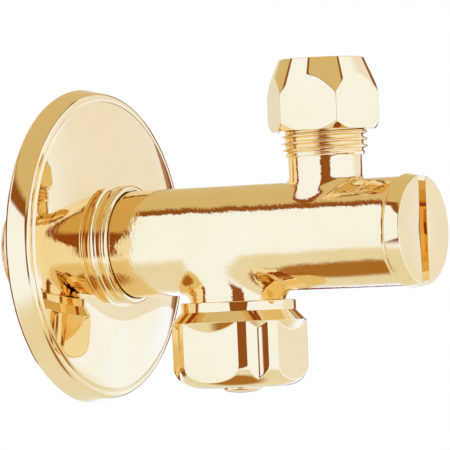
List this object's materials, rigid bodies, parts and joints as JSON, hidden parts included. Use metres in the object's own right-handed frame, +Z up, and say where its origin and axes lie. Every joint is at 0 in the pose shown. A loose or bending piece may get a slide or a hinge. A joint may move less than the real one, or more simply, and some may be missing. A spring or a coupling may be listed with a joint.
{
  "type": "angle stop valve",
  "caption": "Wall-mounted angle stop valve with sliding wall rosette, compression outlet, strainer behind a slotted end cap and a fluted turning knob.",
  "frame": {"origin": "centre of the inlet's axis in the plane of the wall, at the rosette's rear rim", "axes": "+X out of the wall along the barrel, +Z up along the outlet, the knob hangs on -Z"},
  "size_m": [0.0872, 0.0618, 0.0647],
  "materials": {
    "gold_polished": "polished gold plate, mirror smooth",
    "gold_cast": "polished gold plate over casting, faint orange peel",
    "brass_machined": "machined",
    "rubber_black": "smooth",
    "stainless": "fine brushed",
    "white_plastic": "matte"
  },
  "bodies": {
    "body": {"valve_body": "gold_cast", "bonnet": "brass_machined", "bonnet_o_ring": "rubber_black", "thrust_washer": "white_plastic"},
    "rosette": {"rosette": "gold_polished"},
    "handle": {"handle_knob": "gold_polished", "handle_screw": "stainless", "handle_cover": "gold_polished", "spindle": "brass_machined", "spindle_o_ring_upper": "rubber_black", "spindle_o_ring_lower": "rubber_black", "spindle_clip": "stainless"},
    "plunger": {"plunger": "brass_machined", "seat_washer": "rubber_black", "washer_screw": "stainless"},
    "olive": {"compression_olive": "brass_machined"},
    "nut": {"compression_nut": "gold_polished"},
    "strainer": {"strainer_screen": "stainless", "strainer_collar": "white_plastic", "strainer_end_plate": "white_plastic", "filter_cap_o_ring": "rubber_black"},
    "cap": {"filter_cap": "gold_polished"}
  },
  "joints": [
    {"name": "rosette_slide", "type": "slide", "parent": "body", "child": "rosette", "axis": [1, 0, 0], "range_m": [0, 0.01]},
    {"name": "handle_turn", "type": "hinge", "parent": "body", "child": "handle", "pos_m": [0.0333, 0, -0.012], "axis": [0, 0, -1], "range_deg": [0, 900]},
    {"name": "plunger_lift", "type": "slide", "parent": "body", "child": "plunger", "axis": [0, 0, -1], "range_m": [0, 0.0025]},
    {"name": "nut_travel", "type": "slide", "parent": "body", "child": "olive", "axis": [0, 0, 1], "range_m": [0, 0.00595]},
    {"name": "nut_turn", "type": "hinge", "parent": "olive", "child": "nut", "pos_m": [0.05365, 0, 0.02], "axis": [0, 0, 1], "range_deg": [0, 1600]},
    {"name": "cap_travel", "type": "slide", "parent": "body", "child": "strainer", "axis": [1, 0, 0], "range_m": [0, 0.00626]},
    {"name": "cap_turn", "type": "hinge", "parent": "strainer", "child": "cap", "pos_m": [0.0713, 0, 0], "axis": [1, 0, 0], "range_deg": [0, 2250]}
  ],
  "couplings": [
    {"joint": "plunger_lift", "follows": "handle_turn", "m_per_rad": 0.00015915},
    {"joint": "nut_travel", "follows": "nut_turn", "m_per_rad": 0.00021279},
    {"joint": "cap_travel", "follows": "cap_turn", "m_per_rad": 0.00015915}
  ]
}
